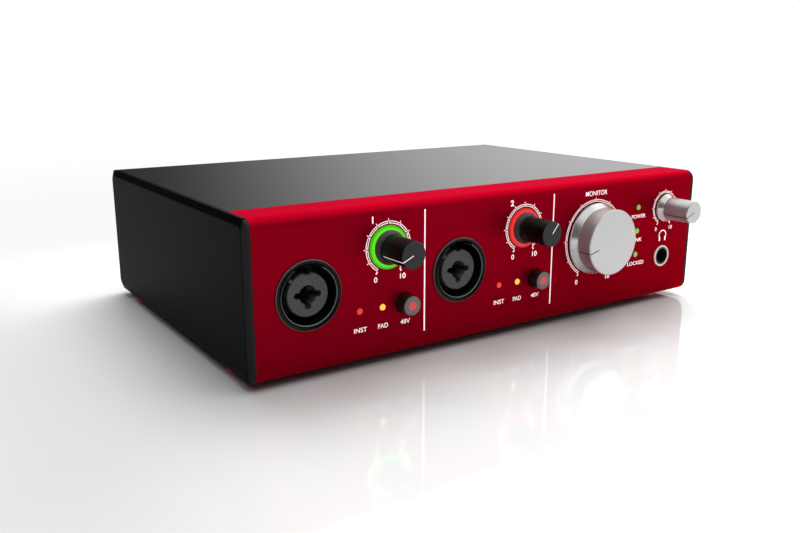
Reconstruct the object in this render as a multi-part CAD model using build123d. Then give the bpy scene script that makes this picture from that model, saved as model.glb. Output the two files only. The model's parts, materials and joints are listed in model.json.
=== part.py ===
from build123d import *
import math
import os

# Desktop audio interface.  Millimetres, +Z up, +X to the right as the front is seen.
# The front faces -Y.  The origin is the centre of the overall size, at the foot level.

# ---------------------------------------------------------------- overall sizes
WIDTH = 210.0
BODY_DEPTH = 146.0
BODY_HEIGHT = 53.3
FOOT_HEIGHT = 2.7
KNOB_REACH = 15.0               # how far the tall knobs stand out of the front face
JACK_REACH = 2.0                # how far the rear jacks stand out behind the body

FRONT = -(BODY_DEPTH + KNOB_REACH + JACK_REACH) / 2 + KNOB_REACH
BACK = FRONT + BODY_DEPTH
BOTTOM = FOOT_HEIGHT
TOP = BOTTOM + BODY_HEIGHT
MIDDLE = (BOTTOM + TOP) / 2

# ---------------------------------------------------------------- casing
FRONT_TOP_RADIUS = 4.0          # rounding of the side outline, corner by corner
FRONT_BOTTOM_RADIUS = 4.5
BACK_RADIUS = 4.5
CHEEK_WALL = 2.2
CHEEK_EDGE = 2.7                # width of the bevel on the cheek's outer face
CHEEK_EDGE_DEPTH = 0.9          # how far the bevel cuts in from that face
RIB_WALL = 1.5
RIB_REACH = 4.0
FASCIA_WALL = 2.4
FASCIA_LIP = 16.8               # how far the fascia wraps over the top
FASCIA_FOLD = 14.0              # how far it wraps under the bottom
SHEET = 1.6
SEAM = 0.2                      # gap where two casing pieces meet
BACK_FOLD = 10.0                # height of the folded strips at the back
TONGUE = 1.2                    # thickness of the cover's tongue under the fascia lip
SHELL_END = WIDTH / 2 - CHEEK_WALL

# ---------------------------------------------------------------- depths behind the front face
PLATE_FRONT = 3.0               # steel plate that the controls are fixed to
PLATE = 1.2
BOARD_FRONT = 13.0              # front circuit board
BOARD = 1.6
PANEL_OUTER = BACK - SHEET - 0.1
PANEL_INNER = PANEL_OUTER - SHEET

# ---------------------------------------------------------------- front layout, x and z
CHANNEL_PITCH = 60.3
INPUT_X = -83.8
INPUT_Z = 29.5
GAIN_X = -53.6
TALL_KNOB_Z = 41.5
ROW_Z = 21.0
INSTRUMENT_X = -65.1
PAD_X = -56.1
BUTTON_X = -46.9
MONITOR_X = 44.3
MONITOR_Z = 33.1
STATUS_X = 69.9
STATUS_Z = 33.1
STATUS_PITCH = 10.0
PHONES_X = 86.4
PHONES_JACK_Z = 20.5
CHANNELS = (0.0, CHANNEL_PITCH)

# ---------------------------------------------------------------- front controls
BEZEL_RADIUS = 11.8
BEZEL_PROUD = 0.7
BARREL_RADIUS = 11.2
SOCKET_RADIUS = 9.75
INSERT_RADIUS = 7.3
INSERT_SET_BACK = 0.8
SOCKET_DEPTH = 12.0
HOUSING_WIDTH = 25.0
HOUSING_HEIGHT = 27.0
HOUSING_BACK = 33.0
JACK_RADIUS = 3.2               # hole for a 6.35 mm plug
JACK_DEPTH = 24.0
CONTACT_HOLE_RADIUS = 1.15
CONTACT_RADIUS = 0.9
CONTACT_CIRCLE = 3.75
SHAFT_RADIUS = 3.0
SHAFT_END = 9.0                 # how far a shaft reaches into a tall knob, ahead of the fascia
MONITOR_SHAFT_END = 7.5
RUNNING_GAP = 0.05
SKIRT_RADIUS = 5.95
TALL_KNOB_RADIUS = 4.75
TALL_KNOB_FACE = 4.65
SKIRT_HEIGHT = 2.6
KNOB_GAP = 0.8                  # gap between the fascia and a knob's skirt
MONITOR_REACH = 10.4
MONITOR_SKIRT_RADIUS = 14.3
MONITOR_WAIST = 12.7
MONITOR_FACE = 12.95
MONITOR_SKIRT_HEIGHT = 3.0
HALO_RADIUS = 7.5
HALO_HOLE = 4.0
HALO_PROUD = 0.3
BUSHING_RADIUS = 3.45
POT_SIZE = 12.0
POT_FRONT = 5.6
BUTTON_RADIUS = 3.4
BUTTON_REACH = 4.6
BUTTON_FLANGE = 4.5
BUTTON_TRAVEL = 1.5
LENS_RADIUS = 1.55
STEM_RADIUS = 1.5
SWITCH_FRONT = 7.2
SWITCH_SIZE = 8.0
LED_RADIUS = 1.1
LED_PROUD = 0.25
RING_RADIUS = 4.6
RING_HOLE = 3.8
PHONES_BUSHING = 3.75

# ---------------------------------------------------------------- back layout
CONNECTOR_Z = 26.0
LINE_X = (-30.0, -48.0, -66.0, -84.0)
FIVE_PIN_X = (16.0, -8.0)
OPTICAL_X = 36.0
OPTICAL_Z = 22.6
DATA_X = 52.0
DATA_Z = 16.8
POWER_IN_X = 68.0
POWER_IN_Z = 21.0
ROCKER_X = 88.0
ROCKER_Z = 28.0
SLOT_X = -96.0
SCREW_X = (-90.0, 0.0, 90.0)
SCREW_INSET = 7.2
SCREW_RADIUS = 1.25

# ---------------------------------------------------------------- back connectors
LINE_BUSHING = 4.5
FIVE_PIN_RADIUS = 7.5
POWER_IN_RADIUS = 4.6
DATA_WIDTH = 9.2
DATA_HEIGHT = 3.6
OPTICAL_WIDTH = 11.6
OPTICAL_HEIGHT = 12.4
OPTICAL_MOUTH = 7.4
SHUTTER_PIN_Z = OPTICAL_Z + 5.0
SHUTTER_PIN_Y = PANEL_OUTER - 1.8
SHUTTER_PIN_RADIUS = 0.5
ROCKER_OPEN_W = 11.0
ROCKER_OPEN_H = 18.4
ROCKER_WALL = 1.2
ROCKER_PIVOT_Y = BACK - 4.5
ROCKER_TILT = 7.0
ROCKER_PIN_RADIUS = 1.0

# ---------------------------------------------------------------- feet and main board
FOOT_RADIUS = 7.6
FOOT_X = 95.5
FOOT_FRONT_Y = FRONT + 22.5
FOOT_REAR_Y = BACK - 22.5
MAIN_BOARD_Z = 11.0
MAIN_BOARD_TOP = MAIN_BOARD_Z + BOARD
MAIN_BOARD_FRONT = FRONT + 36.0
SPACER_SPOTS = [(x, y) for x in (-86.0, 0.0, 86.0) for y in (-22.0, 42.0)]


# ---------------------------------------------------------------- plain shapes
def block(x0, x1, y0, y1, z0, z1):
    """A box between two corners."""
    centre = Pos((x0 + x1) / 2, (y0 + y1) / 2, (z0 + z1) / 2)
    return centre * Box(x1 - x0, y1 - y0, z1 - z0)


def disc(x, z, y0, y1, radius):
    """A cylinder along Y."""
    return Pos(x, (y0 + y1) / 2, z) * Rot(90, 0, 0) * Cylinder(radius, y1 - y0)


def tube(x, z, y0, y1, outer, inner):
    """A ring along Y."""
    return disc(x, z, y0, y1, outer) - disc(x, z, y0 - 1, y1 + 1, inner)


def post(x, y, z0, z1, radius):
    """An upright cylinder."""
    return Pos(x, y, (z0 + z1) / 2) * Cylinder(radius, z1 - z0)


def turned(x, z, face_y, outline):
    """A solid turned about a line along Y.  The outline holds (radius, height above face_y)."""
    points = [(radius, -height) for radius, height in outline]
    face = make_face(Polyline(*points, close=True))
    return Pos(x, face_y, z) * revolve(face, Axis.Y)


def pill(x, z, y0, y1, width, height):
    """A bar along Y with rounded ends, wider than it is high."""
    straight = (width - height) / 2
    bar = block(x - straight, x + straight, y0, y1, z - height / 2, z + height / 2)
    return bar + disc(x - straight, z, y0, y1, height / 2) + disc(x + straight, z, y0, y1, height / 2)


def body_block(inset, x0, x1):
    """The side outline of the whole body, drawn in by inset and stretched along X.

    A corner stays sharp where the inset is more than its radius.
    """
    solid = block(x0, x1, FRONT + inset, BACK - inset, BOTTOM + inset, TOP - inset)
    for edge in solid.edges().filter_by(Axis.X):
        spot = edge.center()
        high = spot.Z > MIDDLE
        radius = BACK_RADIUS
        if spot.Y < 0:
            radius = FRONT_TOP_RADIUS if high else FRONT_BOTTOM_RADIUS
        if radius <= inset:
            continue
        near = [e for e in solid.edges().filter_by(Axis.X) if (e.center() - spot).length < 0.01]
        solid = fillet(near, radius - inset)
    return solid


def save(name, *shapes):
    """Write one node's STEP file."""
    solids = [solid for shape in shapes for solid in shape.solids()]
    whole = solids[0] if len(solids) == 1 else Compound(solids)
    whole.label = name
    export_step(whole, f"parts/{name}.step")


# ---------------------------------------------------------------- casing
def front_openings(extra):
    """What passes through the fascia and the plate behind it."""
    y0 = FRONT - 1
    y1 = FRONT + PLATE_FRONT + PLATE + 1
    cuts = []
    for shift in CHANNELS:
        cuts.append(disc(INPUT_X + shift, INPUT_Z, y0, y1, BARREL_RADIUS + 0.1))
        cuts.append(disc(BUTTON_X + shift, ROW_Z, y0, y1, BUTTON_RADIUS + 0.4))
        cuts.append(disc(INSTRUMENT_X + shift, ROW_Z, y0, y1, LED_RADIUS + extra))
        cuts.append(disc(PAD_X + shift, ROW_Z, y0, y1, LED_RADIUS + extra))
    for step in (-1, 0, 1):
        cuts.append(disc(STATUS_X, STATUS_Z + step * STATUS_PITCH, y0, y1, LED_RADIUS + extra))
    cuts.append(disc(MONITOR_X, MONITOR_Z, y0, y1, BUSHING_RADIUS + 0.15))
    cuts.append(disc(PHONES_X, TALL_KNOB_Z, y0, y1, BUSHING_RADIUS + 0.15))
    cuts.append(disc(PHONES_X, PHONES_JACK_Z, y0, y1, PHONES_BUSHING + 0.1))
    return cuts


def front_fascia():
    """Red extrusion that makes the front and wraps over the top and under the bottom."""
    shell = body_block(0, -SHELL_END, SHELL_END) - body_block(FASCIA_WALL, -SHELL_END - 1, SHELL_END + 1)
    lip = block(-WIDTH, WIDTH, FRONT - 1, FRONT + FASCIA_LIP, MIDDLE, TOP + 1)
    fold = block(-WIDTH, WIDTH, FRONT - 1, FRONT + FASCIA_FOLD, BOTTOM - 1, MIDDLE)
    fascia = shell & (lip + fold)
    for cut in front_openings(0.05):
        fascia -= cut
    for shift in CHANNELS:
        fascia -= disc(GAIN_X + shift, TALL_KNOB_Z, FRONT - 1, FRONT + 4, HALO_RADIUS + 0.1)
    return fascia


def front_plate():
    """Steel plate behind the fascia, folded back to stand on the base."""
    plate_y = FRONT + PLATE_FRONT
    foot_z = BOTTOM + 6.0
    shelf = 17.0
    end = SHELL_END - RIB_REACH - 1.4
    plate = block(-end, end, plate_y, plate_y + PLATE, foot_z, TOP - 7)
    plate += block(-end, end, plate_y, plate_y + shelf, foot_z, foot_z + PLATE)
    plate += block(-end, end, plate_y + shelf - PLATE, plate_y + shelf, BOTTOM + SHEET, foot_z + PLATE)
    for cut in front_openings(0.2):
        plate -= cut
    for shift in CHANNELS:
        plate -= disc(GAIN_X + shift, TALL_KNOB_Z, plate_y - 1, plate_y + 3, BUSHING_RADIUS + 0.15)
    return plate


def cheek(side):
    """Black end plate with bevelled outer edges and a rib that locates the shells."""
    outer = side * WIDTH / 2
    inner = side * SHELL_END
    plate = body_block(0, min(outer, inner), max(outer, inner))
    face = plate.faces().sort_by(Axis.X)[-1 if side > 0 else 0]
    plate = chamfer(face.edges(), CHEEK_EDGE, CHEEK_EDGE_DEPTH, reference=face)
    rib_end = side * (SHELL_END - RIB_REACH)
    x0, x1 = min(inner, rib_end), max(inner, rib_end)
    rib_inset = FASCIA_WALL + 0.3
    rib = body_block(rib_inset, x0, x1) - body_block(rib_inset + RIB_WALL, x0 - 1, x1 + 1)
    rib -= block(x0 - 1, x1 + 1, PANEL_INNER - 0.4, BACK, BOTTOM, TOP)
    return plate + rib


def shell_sheet(front_y):
    """The body's outline as a thin sheet, behind front_y."""
    end = SHELL_END - 0.1
    shell = body_block(0, -end, end) - body_block(SHEET, -WIDTH, WIDTH)
    return shell & block(-WIDTH, WIDTH, front_y, BACK + 1, BOTTOM - 1, TOP + 1)


def screw_spots():
    return [(x, z) for x in SCREW_X for z in (BOTTOM + SCREW_INSET, TOP - SCREW_INSET)]


def top_cover():
    """Black sheet with a rolled back edge and a tongue under the fascia's lip."""
    front_y = FRONT + FASCIA_LIP + SEAM
    cover = shell_sheet(front_y) & block(-WIDTH, WIDTH, FRONT, BACK + 1, TOP - BACK_FOLD, TOP + 1)
    end = SHELL_END - RIB_REACH - 1
    tongue_top = TOP - FASCIA_WALL - 0.15
    cover += block(-end, end, front_y, front_y + 2, tongue_top - TONGUE, TOP - SHEET / 2)
    cover += block(-end, end, front_y - 6, front_y + 1, tongue_top - TONGUE, tongue_top)
    for x, z in screw_spots():
        cover -= disc(x, z, PANEL_OUTER - 1, BACK + 1, SCREW_RADIUS + 0.2)
    return cover


def base_tray():
    """Black sheet floor with a rolled back edge and holes for the foot screws."""
    front_y = FRONT + FASCIA_FOLD + SEAM
    tray = shell_sheet(front_y) & block(-WIDTH, WIDTH, FRONT, BACK + 1, BOTTOM - 1, BOTTOM + BACK_FOLD)
    for x, z in screw_spots():
        tray -= disc(x, z, PANEL_OUTER - 1, BACK + 1, SCREW_RADIUS + 0.2)
    for x, y in foot_spots().values():
        tray -= post(x, y, BOTTOM - 1, BOTTOM + SHEET + 1, SCREW_RADIUS + 0.2)
    return tray


def rear_panel():
    """Black steel panel with the cut-outs for the rear connectors.

    It is divided beside the optical socket, so that each of its solids is simple there.
    """
    end = SHELL_END - 0.2
    plate = block(-end, end, PANEL_INNER, PANEL_OUTER, BOTTOM + 4.4, TOP - 4.4)
    y0, y1 = PANEL_INNER - 1, PANEL_OUTER + 1
    for x, z in screw_spots():
        plate -= disc(x, z, y0, y1, SCREW_RADIUS + 0.2)
    for x in LINE_X:
        plate -= disc(x, CONNECTOR_Z, y0, y1, LINE_BUSHING + 0.1)
    for x in FIVE_PIN_X:
        plate -= disc(x, CONNECTOR_Z, y0, y1, FIVE_PIN_RADIUS + 0.1)
    plate -= disc(POWER_IN_X, POWER_IN_Z, y0, y1, POWER_IN_RADIUS + 0.1)
    plate -= pill(DATA_X, DATA_Z, y0, y1, DATA_WIDTH + 0.3, DATA_HEIGHT + 0.3)
    plate -= pill(SLOT_X, CONNECTOR_Z, y0, y1, 7.0, 3.2)
    left, right = OPTICAL_X - OPTICAL_WIDTH / 2 - 0.1, OPTICAL_X + OPTICAL_WIDTH / 2 + 0.1
    half_h = OPTICAL_HEIGHT / 2 + 0.1
    plate -= block(left, right, y0, y1, OPTICAL_Z - half_h, OPTICAL_Z + half_h)
    half_w, half_h = ROCKER_OPEN_W / 2 + ROCKER_WALL + 0.1, ROCKER_OPEN_H / 2 + ROCKER_WALL + 0.1
    plate -= block(ROCKER_X - half_w, ROCKER_X + half_w, y0, y1, ROCKER_Z - half_h, ROCKER_Z + half_h)
    spans = ((-end, left), (left, right), (right, end))
    return [plate & block(x0, x1, y0, y1, BOTTOM, TOP) for x0, x1 in spans]


def foot_spots():
    return {
        "foot_front_left": (-FOOT_X, FOOT_FRONT_Y),
        "foot_front_right": (FOOT_X, FOOT_FRONT_Y),
        "foot_rear_left": (-FOOT_X, FOOT_REAR_Y),
        "foot_rear_right": (FOOT_X, FOOT_REAR_Y),
    }


def foot(x, y):
    """Round rubber foot with a rounded lower edge and a counterbore for its screw."""
    pad = post(x, y, 0, FOOT_HEIGHT, FOOT_RADIUS)
    pad = fillet(pad.edges().filter_by(GeomType.CIRCLE).sort_by(Axis.Z)[0], 0.6)
    pad -= post(x, y, -1, 1.4, 3.0)
    return pad - post(x, y, -1, FOOT_HEIGHT + 1, SCREW_RADIUS + 0.2)


def foot_screw(x, y):
    head = post(x, y, 0.35, 1.4, 2.4) - post(x, y, 0.3, 0.8, 1.0)
    return head + post(x, y, 1.2, BOTTOM + SHEET + 2.5, SCREW_RADIUS)


def panel_screw(x, z):
    head = disc(x, z, BACK, BACK + 1.2, 2.3)
    recess = Pos(x, BACK + 1.2, z) * Rot(90, 0, 0) * extrude(RegularPolygon(1.1, 6), 0.7)
    shank = disc(x, z, PANEL_INNER - 2, BACK + 0.3, SCREW_RADIUS)
    return head + shank - recess


# ---------------------------------------------------------------- inputs
def contact_spots(x):
    """Centres of the three contact holes: left, right and below."""
    angles = (0, 180, 270)
    return [
        (x + CONTACT_CIRCLE * math.cos(math.radians(a)), INPUT_Z + CONTACT_CIRCLE * math.sin(math.radians(a)))
        for a in angles
    ]


def input_bezel(x):
    """Dished flange and barrel with a recess for the plug's latch at the top."""
    half_latch = 30.0
    latch_radius = 10.7
    bead = 0.35
    outline = [
        (SOCKET_RADIUS, -SOCKET_DEPTH),
        (BARREL_RADIUS, -SOCKET_DEPTH),
        (BARREL_RADIUS, 0),
        (BEZEL_RADIUS, 0),
        (BEZEL_RADIUS, BEZEL_PROUD - bead),
        (BEZEL_RADIUS - bead, BEZEL_PROUD),
        (BEZEL_RADIUS - 2 * bead, BEZEL_PROUD),
        (SOCKET_RADIUS + 2 * bead, BEZEL_PROUD - bead),
        (SOCKET_RADIUS + bead, BEZEL_PROUD),
        (SOCKET_RADIUS, BEZEL_PROUD - bead),
    ]
    ring = turned(x, INPUT_Z, FRONT, outline)
    recess = disc(x, INPUT_Z, FRONT - 2, FRONT + 6, latch_radius)
    reach = 20.0
    spread = reach * math.tan(math.radians(half_latch))
    wedge_face = make_face(Polyline((0, 0), (-spread, reach), (spread, reach), close=True))
    wedge = Pos(x, FRONT + 10, INPUT_Z) * Rot(90, 0, 0) * extrude(wedge_face, 15)
    return ring - (recess & wedge)


def input_insert(x):
    """Insulator with a centre jack hole that opens into three contact holes."""
    front_y = FRONT + INSERT_SET_BACK
    back_y = FRONT + SOCKET_DEPTH
    core = disc(x, INPUT_Z, front_y, back_y, INSERT_RADIUS)
    core = fillet(core.edges().filter_by(GeomType.CIRCLE).sort_by(Axis.Y)[0], 0.3)
    core -= disc(x, INPUT_Z, front_y - 1, back_y + 1, JACK_RADIUS)
    for spot_x, spot_z in contact_spots(x):
        core -= disc(spot_x, spot_z, front_y - 1, back_y + 1, CONTACT_HOLE_RADIUS)
    core -= block(x - 1.1, x + 1.1, front_y - 1, back_y - 3, INPUT_Z + INSERT_RADIUS - 0.7, INPUT_Z + 9)
    key = block(-0.6, 0.6, front_y + 0.4, back_y, INSERT_RADIUS - 0.5, INSERT_RADIUS + 0.9)
    return core + Pos(x, 0, INPUT_Z) * Rot(0, -48, 0) * key


def input_housing(x):
    """Closed box behind the socket, with the jack hole running on into it."""
    y0, y1 = FRONT + SOCKET_DEPTH, FRONT + HOUSING_BACK
    half_w, half_h = HOUSING_WIDTH / 2, HOUSING_HEIGHT / 2
    box = block(x - half_w, x + half_w, y0, y1, INPUT_Z - half_h, INPUT_Z + half_h)
    return box - disc(x, INPUT_Z, y0 - 1, y1 - 4, JACK_RADIUS)


def input_contacts(x):
    y0, y1 = FRONT + 7, FRONT + SOCKET_DEPTH
    return [disc(cx, cz, y0, y1, CONTACT_RADIUS) for cx, cz in contact_spots(x)]


# ---------------------------------------------------------------- knobs and their potentiometers
def tall_knob(x, z):
    """Slim turned knob with a flared skirt."""
    edge = 0.3
    outline = [
        (SHAFT_RADIUS, KNOB_GAP),
        (SKIRT_RADIUS, KNOB_GAP),
        (SKIRT_RADIUS, KNOB_GAP + 0.6),
        (TALL_KNOB_RADIUS + 0.2, KNOB_GAP + SKIRT_HEIGHT - 0.5),
        (TALL_KNOB_RADIUS, KNOB_GAP + SKIRT_HEIGHT),
        (TALL_KNOB_FACE, KNOB_REACH - edge),
        (TALL_KNOB_FACE - edge, KNOB_REACH),
        (0, KNOB_REACH),
        (0, SHAFT_END),
        (SHAFT_RADIUS, SHAFT_END),
    ]
    return turned(x, z, FRONT, outline)


def monitor_knob():
    """Wide turned knob with a flared skirt."""
    edge = 0.35
    waist_height = KNOB_GAP + MONITOR_SKIRT_HEIGHT
    outline = [
        (SHAFT_RADIUS, KNOB_GAP),
        (MONITOR_SKIRT_RADIUS, KNOB_GAP),
        (MONITOR_SKIRT_RADIUS, KNOB_GAP + 0.7),
        (MONITOR_WAIST + 0.2, waist_height - 0.4),
        (MONITOR_WAIST, waist_height),
        (MONITOR_FACE, MONITOR_REACH - edge),
        (MONITOR_FACE - edge, MONITOR_REACH),
        (0, MONITOR_REACH),
        (0, MONITOR_SHAFT_END),
        (SHAFT_RADIUS, MONITOR_SHAFT_END),
    ]
    return turned(MONITOR_X, MONITOR_Z, FRONT, outline)


def shaft(x, z, end):
    """Round shaft, fixed in the knob and turning in the potentiometer."""
    return disc(x, z, FRONT - end, FRONT + POT_FRONT + 5.0, SHAFT_RADIUS)


def potentiometer(x, z, bushing_front):
    """Square body and round bushing, bored for the shaft."""
    half = POT_SIZE / 2
    pot_y = FRONT + POT_FRONT
    body = block(x - half, x + half, pot_y, FRONT + BOARD_FRONT, z - half, z + half)
    body += disc(x, z, FRONT + bushing_front, pot_y + 1, BUSHING_RADIUS)
    return body - disc(x, z, FRONT - 2, pot_y + 6.0, SHAFT_RADIUS + RUNNING_GAP)


def halo(x):
    """Light guide ring behind a gain knob, standing just proud of the fascia."""
    return tube(x, TALL_KNOB_Z, FRONT - HALO_PROUD, FRONT + PLATE_FRONT, HALO_RADIUS, HALO_HOLE)


# ---------------------------------------------------------------- buttons and lights
def button(x):
    """Round cap with a recess for its lens, a retaining flange and a stem."""
    cap = disc(x, ROW_Z, FRONT - BUTTON_REACH, FRONT + 4.5, BUTTON_RADIUS)
    cap = fillet(cap.edges().filter_by(GeomType.CIRCLE).sort_by(Axis.Y)[0], 0.4)
    cap -= disc(x, ROW_Z, FRONT - BUTTON_REACH - 1, FRONT - BUTTON_REACH + 1.0, LENS_RADIUS + 0.05)
    cap += disc(x, ROW_Z, FRONT + 4.4, FRONT + 5.4, BUTTON_FLANGE)
    return cap + disc(x, ROW_Z, FRONT + 5.3, FRONT + 9.5, STEM_RADIUS)


def button_lens(x):
    return disc(x, ROW_Z, FRONT - BUTTON_REACH - 0.05, FRONT - BUTTON_REACH + 1.0, LENS_RADIUS)


def button_switch(x):
    """Sealed switch body.  Its return spring is inside."""
    half = SWITCH_SIZE / 2
    switch_y = FRONT + SWITCH_FRONT
    body = block(x - half, x + half, switch_y, FRONT + BOARD_FRONT, ROW_Z - half, ROW_Z + half)
    well = 9.5 + BUTTON_TRAVEL + 0.5
    return body - disc(x, ROW_Z, switch_y - 1, FRONT + well, STEM_RADIUS + 0.35)


def indicator(x, z):
    """Lamp on the front board with a round light guide and a domed tip."""
    base = 1.6
    guide = disc(x, z, FRONT - LED_PROUD, FRONT + 9, LED_RADIUS)
    guide = fillet(guide.edges().filter_by(GeomType.CIRCLE).sort_by(Axis.Y)[0], 0.24)
    return guide + block(x - base, x + base, FRONT + 8.5, FRONT + BOARD_FRONT, z - base, z + base)


# ---------------------------------------------------------------- headphone jack
def phones_jack():
    """Jack body with a round bushing through the fascia."""
    y0 = FRONT - 0.4
    half = 6.5
    body = disc(PHONES_X, PHONES_JACK_Z, y0, FRONT + 7, PHONES_BUSHING)
    body += block(
        PHONES_X - half - 0.5, PHONES_X + half + 0.5, FRONT + 6, FRONT + 32,
        PHONES_JACK_Z - half, PHONES_JACK_Z + half,
    )
    return body - disc(PHONES_X, PHONES_JACK_Z, y0 - 1, y0 + JACK_DEPTH, JACK_RADIUS)


def phones_ring():
    ring = tube(PHONES_X, PHONES_JACK_Z, FRONT - 0.5, FRONT, RING_RADIUS, RING_HOLE)
    outer = ring.edges().filter_by(GeomType.CIRCLE).sort_by(Axis.Y)[:2]
    return fillet(outer, 0.2)


# ---------------------------------------------------------------- rear connectors
def line_jack(x):
    """Jack body on the main board with a round bushing through the rear panel."""
    half = 7.5
    tip = BACK + JACK_REACH
    body = block(x - half, x + half, PANEL_INNER - 26, PANEL_INNER, MAIN_BOARD_TOP, CONNECTOR_Z + 8)
    body += disc(x, CONNECTOR_Z, PANEL_INNER - 1, tip, LINE_BUSHING)
    return body - disc(x, CONNECTOR_Z, tip - JACK_DEPTH, tip + 1, JACK_RADIUS)


def line_nut(x):
    """Hexagonal nut on a line jack's bushing."""
    across_flats = 12.0
    thickness = 2.2
    hexagon = RegularPolygon(across_flats / 2, 6, major_radius=False)
    nut = Pos(x, PANEL_OUTER + thickness, CONNECTOR_Z) * Rot(90, 0, 0) * extrude(hexagon, thickness)
    return nut - disc(x, CONNECTOR_Z, PANEL_OUTER - 1, PANEL_OUTER + 4, LINE_BUSHING + 0.05)


def five_pin_socket(x):
    """Round socket with a slot for the plug's shell and five contact holes."""
    half = 9.5
    face_y = PANEL_OUTER + 0.6
    body = block(x - half, x + half, PANEL_INNER - 12, PANEL_INNER, MAIN_BOARD_TOP, CONNECTOR_Z + 10)
    body += disc(x, CONNECTOR_Z, PANEL_INNER - 1, face_y, FIVE_PIN_RADIUS)
    body -= tube(x, CONNECTOR_Z, face_y - 7, face_y + 1, 6.9, 6.2)
    for step in range(5):
        angle = math.radians(step * 45)
        spot_x = x + 3.75 * math.cos(angle)
        spot_z = CONNECTOR_Z + 3.75 * math.sin(angle)
        body -= disc(spot_x, spot_z, face_y - 8, face_y + 1, 0.8)
    return body - block(x - 1, x + 1, face_y - 7, face_y + 1, CONNECTOR_Z - 6.5, CONNECTOR_Z - 4.8)


def optical_socket():
    """Box with a square mouth, and a wider chamber for the shutter behind it."""
    half_w, half_h = OPTICAL_WIDTH / 2, OPTICAL_HEIGHT / 2
    y0, y1 = PANEL_INNER - 14, PANEL_OUTER + 0.5
    body = block(OPTICAL_X - half_w, OPTICAL_X + half_w, y0, y1, OPTICAL_Z - half_h, OPTICAL_Z + half_h)
    body += block(OPTICAL_X - half_w, OPTICAL_X + half_w, y0, PANEL_INNER, MAIN_BOARD_TOP, OPTICAL_Z)
    mouth = OPTICAL_MOUTH / 2
    body -= block(OPTICAL_X - mouth, OPTICAL_X + mouth, y0 + 3, y1 + 1, OPTICAL_Z - mouth, OPTICAL_Z + mouth)
    chamber_w = mouth + 0.6
    body -= block(
        OPTICAL_X - chamber_w, OPTICAL_X + chamber_w, y0 + 3, PANEL_OUTER - 0.9,
        OPTICAL_Z - mouth - 0.6, SHUTTER_PIN_Z + 0.9,
    )
    return body - shutter_pin(chamber_w + 0.5, SHUTTER_PIN_RADIUS + RUNNING_GAP)


def shutter_pin(half_length, radius):
    centre = Pos(OPTICAL_X, SHUTTER_PIN_Y, SHUTTER_PIN_Z)
    return centre * Rot(0, 90, 0) * Cylinder(radius, 2 * half_length)


def optical_shutter():
    """Flap that hangs from its own pin and closes the mouth from inside."""
    half_w = OPTICAL_MOUTH / 2 + 0.2
    thick = 0.3
    low = OPTICAL_Z - OPTICAL_MOUTH / 2 - 0.2
    flap = block(
        OPTICAL_X - half_w, OPTICAL_X + half_w, SHUTTER_PIN_Y - thick, SHUTTER_PIN_Y + thick,
        low, SHUTTER_PIN_Z,
    )
    return flap + shutter_pin(OPTICAL_MOUTH / 2 + 0.9, SHUTTER_PIN_RADIUS)


def data_socket():
    """Small oval data socket with a tongue."""
    tip = PANEL_OUTER + 0.3
    y0 = PANEL_INNER - 8
    body = pill(DATA_X, DATA_Z, y0, tip, DATA_WIDTH, DATA_HEIGHT)
    body -= pill(DATA_X, DATA_Z, y0 + 2, tip + 1, DATA_WIDTH - 0.8, DATA_HEIGHT - 0.8)
    body += block(DATA_X - 4.4, DATA_X + 4.4, y0, PANEL_INNER, MAIN_BOARD_TOP, DATA_Z - DATA_HEIGHT / 2 + 0.2)
    return body + block(DATA_X - 3.3, DATA_X + 3.3, y0 + 1, tip - 1, DATA_Z - 0.35, DATA_Z + 0.35)


def power_inlet():
    """Round inlet with a centre pin."""
    tip = PANEL_OUTER + 0.6
    body = block(
        POWER_IN_X - 6, POWER_IN_X + 6, PANEL_INNER - 13, PANEL_INNER, MAIN_BOARD_TOP, POWER_IN_Z + 6,
    )
    body += disc(POWER_IN_X, POWER_IN_Z, PANEL_INNER - 1, tip, POWER_IN_RADIUS)
    body -= disc(POWER_IN_X, POWER_IN_Z, tip - 10, tip + 1, 2.95)
    return body + disc(POWER_IN_X, POWER_IN_Z, tip - 11, tip - 1, 1.05)


def rocker_pins(half_length, radius):
    centre = Pos(ROCKER_X, ROCKER_PIVOT_Y, ROCKER_Z)
    return centre * Rot(0, 90, 0) * Cylinder(radius, 2 * half_length)


def rocker_frame():
    """Snap-in frame of the power switch, a cup with a flange."""
    half_w, half_h = ROCKER_OPEN_W / 2, ROCKER_OPEN_H / 2
    outer_w, outer_h = half_w + ROCKER_WALL, half_h + ROCKER_WALL
    x, z = ROCKER_X, ROCKER_Z
    face_y = PANEL_OUTER + 1.2
    cup = block(x - outer_w, x + outer_w, PANEL_INNER - 12, face_y, z - outer_h, z + outer_h)
    rim_w, rim_h = outer_w + 1.2, outer_h + 1.2
    cup += block(x - rim_w, x + rim_w, PANEL_OUTER, face_y, z - rim_h, z + rim_h)
    cup -= block(x - half_w, x + half_w, PANEL_INNER - 10, face_y + 1, z - half_h, z + half_h)
    return cup - rocker_pins(half_w + 0.9, ROCKER_PIN_RADIUS + RUNNING_GAP)


def rocker():
    """Rocker with a shallow V face, resting with its lower half pressed in."""
    half_w = ROCKER_OPEN_W / 2 - 0.45
    half_h = 8.2
    outline = [(5.0, half_h), (4.0, 0), (5.0, -half_h), (0.5, -half_h), (-4.5, -3), (-4.5, 3), (0.5, half_h)]
    face = make_face(Plane.YZ * Polyline(*outline, close=True))
    bar = extrude(face, half_w, both=True)
    solid = Pos(ROCKER_X, ROCKER_PIVOT_Y, ROCKER_Z) * Rot(ROCKER_TILT, 0, 0) * bar
    return solid + rocker_pins(half_w + 1.25, ROCKER_PIN_RADIUS)


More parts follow.
